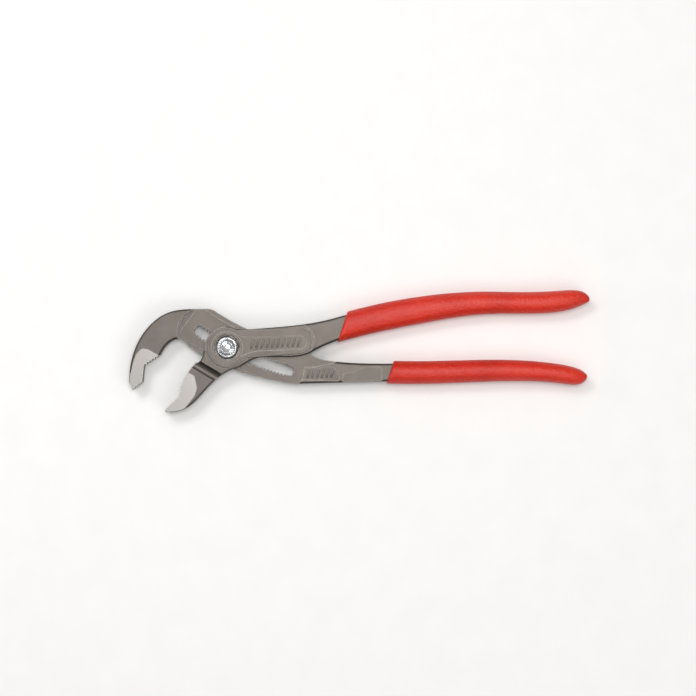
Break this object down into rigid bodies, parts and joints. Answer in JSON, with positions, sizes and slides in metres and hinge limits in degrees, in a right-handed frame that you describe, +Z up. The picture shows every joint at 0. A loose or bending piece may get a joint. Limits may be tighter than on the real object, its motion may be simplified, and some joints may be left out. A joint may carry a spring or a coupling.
{
  "type": "tongue and groove pliers",
  "caption": "Adjustable push-button pliers with a toothed curved slot, two hooked jaws and dipped grips.",
  "frame": {"origin": "centre of the footprint, on the plane that the pliers lie on, with the push button up", "axes": "+X along the handles away from the jaws, +Y from the lower to the upper handle, +Z up through the thickness"},
  "size_m": [0.2504, 0.0663, 0.0171],
  "materials": {
    "forged_steel": "satin",
    "bolt_steel": "satin",
    "chrome": "polished",
    "spring_steel": "bright",
    "grip_plastic": "dipped, slightly textured"
  },
  "bodies": {
    "lower_handle": {"slotted_leg": "forged_steel", "lower_grip": "grip_plastic"},
    "slide": {"button_spring": "spring_steel", "spring_seat": "bolt_steel"},
    "upper_handle": {"box_leg": "forged_steel", "rear_bush": "bolt_steel", "upper_grip": "grip_plastic"},
    "bolt": {"toothed_bolt": "bolt_steel", "push_button": "chrome"}
  },
  "joints": [
    {"name": "adjust", "type": "hinge", "parent": "lower_handle", "child": "slide", "pos_m": [-0.00126, 0.14068, 0.007], "axis": [0, 0, 1], "range_deg": [-5.6, 11.2]},
    {"name": "open", "type": "hinge", "parent": "slide", "child": "upper_handle", "pos_m": [-0.07195, 0.00195, 0.007], "axis": [0, 0, 1], "range_deg": [0, 25]},
    {"name": "press", "type": "slide", "parent": "slide", "child": "bolt", "axis": [0, 0, -1], "range_m": [0, 0.003], "stiffness_N_per_m": 1200, "springref_m": -0.002, "deforming": ["button_spring"]}
  ]
}
